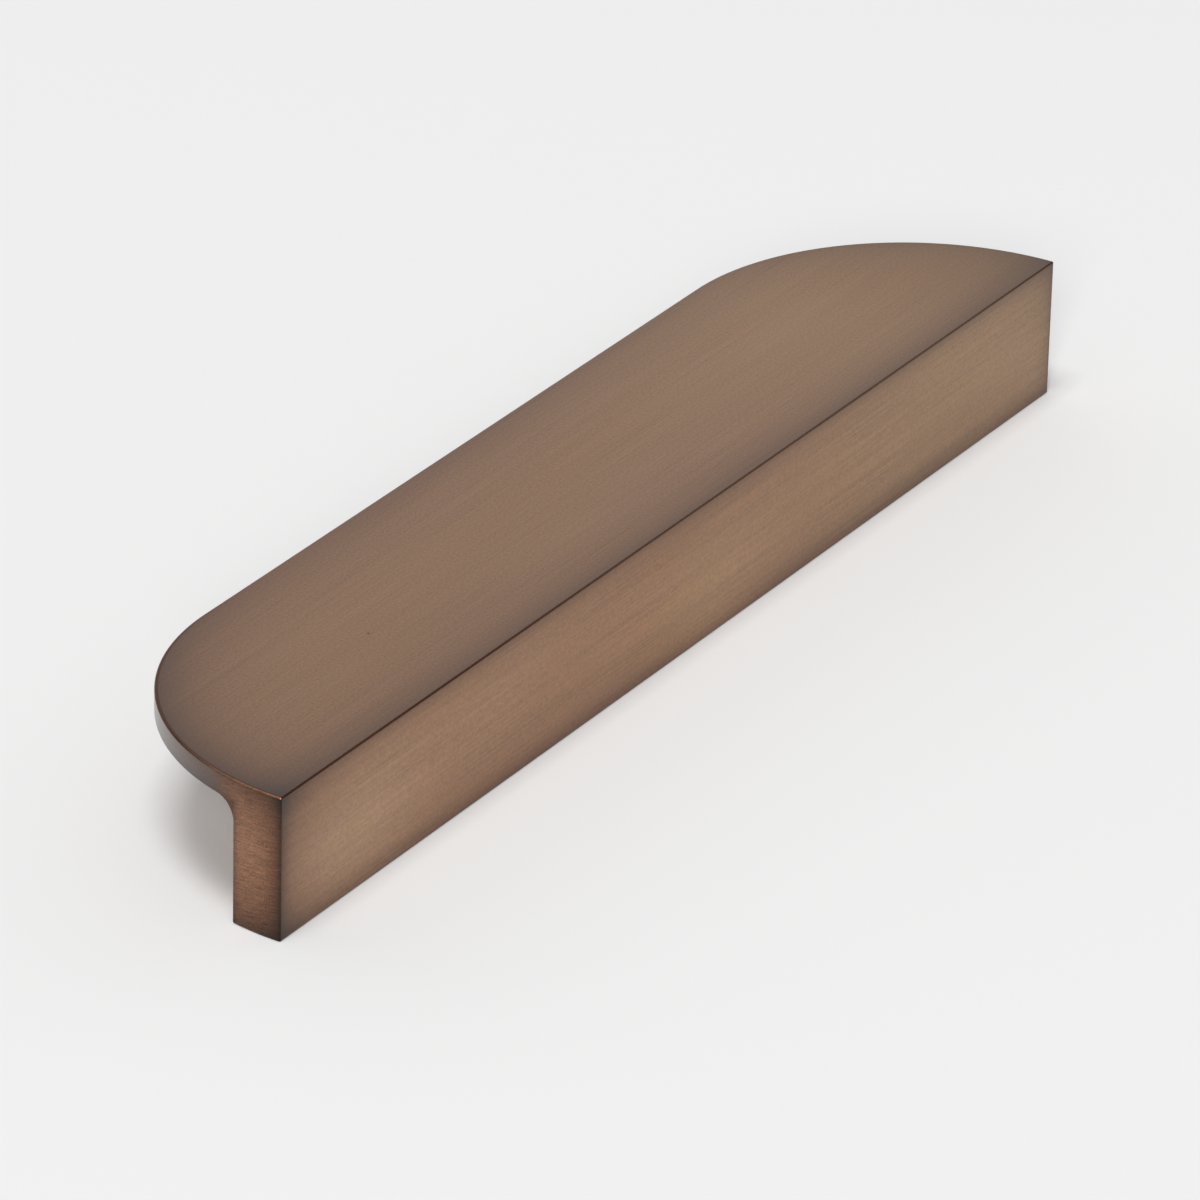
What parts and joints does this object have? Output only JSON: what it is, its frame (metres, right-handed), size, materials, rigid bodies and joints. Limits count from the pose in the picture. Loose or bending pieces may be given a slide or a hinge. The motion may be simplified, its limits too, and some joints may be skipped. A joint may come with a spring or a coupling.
{
  "type": "cabinet pull",
  "caption": "L-shaped cabinet lip pull: a straight leg on the cabinet front carries a flat plate with quarter-round ends that fingers hook behind; brushed, aged bronze finish.",
  "frame": {"origin": "midway between the two screw holes, on the flat foot of the leg", "axes": "+X along the bar, +Y from the leg towards the plate's back edge, +Z from the cabinet front out to the plate"},
  "size_m": [0.2, 0.0375, 0.021],
  "materials": {
    "aged_bronze": "fine brushed along the bar, patinated brown bronze, darker and greyer towards the edges, satin lacquer"
  },
  "bodies": {
    "root": {"pull": "aged_bronze"}
  },
  "joints": []
}
